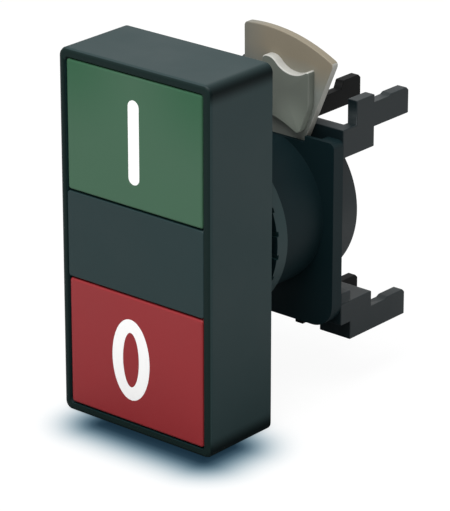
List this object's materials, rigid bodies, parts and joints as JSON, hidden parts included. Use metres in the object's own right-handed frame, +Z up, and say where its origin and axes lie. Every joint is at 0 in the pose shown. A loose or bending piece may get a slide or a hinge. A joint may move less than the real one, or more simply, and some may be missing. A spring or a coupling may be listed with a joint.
{
  "type": "double push button",
  "caption": "Twin push button head for a control panel: flush green I cap over flush red 0 cap in one upright bezel, with a bayonet fixing collar behind.",
  "frame": {"origin": "on the neck's axis, in the plane of the panel's front face, which is the back of the bezel", "axes": "+Y runs back through the panel along the neck, the way a cap is pressed; +Z is up, from the red cap to the green one; +X is right as seen from the front"},
  "size_m": [0.03, 0.0476, 0.0594],
  "materials": {
    "black": "satin moulded black plastic",
    "collar": "moulded black plastic, a little shinier",
    "inner": "dark grey moulded plastic",
    "rubber": "matt black rubber",
    "green": "satin green plastic",
    "red": "satin red plastic",
    "white": "satin white plastic",
    "lever": "satin grey-brown plastic",
    "spring": "drawn spring steel"
  },
  "bodies": {
    "head": {"bezel": "black", "chassis": "inner", "inner_seal": "rubber", "centre_insert": "black", "panel_gasket": "rubber", "rear_guide": "inner", "on_spring": "spring", "off_spring": "spring"},
    "on_button": {"on_cap": "green", "on_mark": "white", "on_plunger": "inner", "on_pusher": "inner"},
    "off_button": {"off_cap": "red", "off_mark": "white", "off_plunger": "inner", "off_pusher": "inner"},
    "collar": {"collar_cover": "collar", "collar_frame": "collar", "lever_spring": "spring"},
    "lever": {"lock_lever": "lever"}
  },
  "joints": [
    {"name": "on_press", "type": "slide", "parent": "head", "child": "on_button", "axis": [0, 1, 0], "range_m": [0, 0.004], "stiffness_N_per_m": 400, "springref_m": -0.004, "deforming": ["on_spring"]},
    {"name": "off_press", "type": "slide", "parent": "head", "child": "off_button", "axis": [0, 1, 0], "range_m": [0, 0.004], "stiffness_N_per_m": 400, "springref_m": -0.004, "deforming": ["off_spring"]},
    {"name": "collar_slide", "type": "slide", "parent": "head", "child": "collar", "axis": [0, 1, 0], "range_m": [0, 0.045]},
    {"name": "lever_turn", "type": "hinge", "parent": "collar", "child": "lever", "pos_m": [0, 0.0163, 0], "axis": [0, -1, 0], "range_deg": [0, 28], "deforming": ["lever_spring"]}
  ]
}
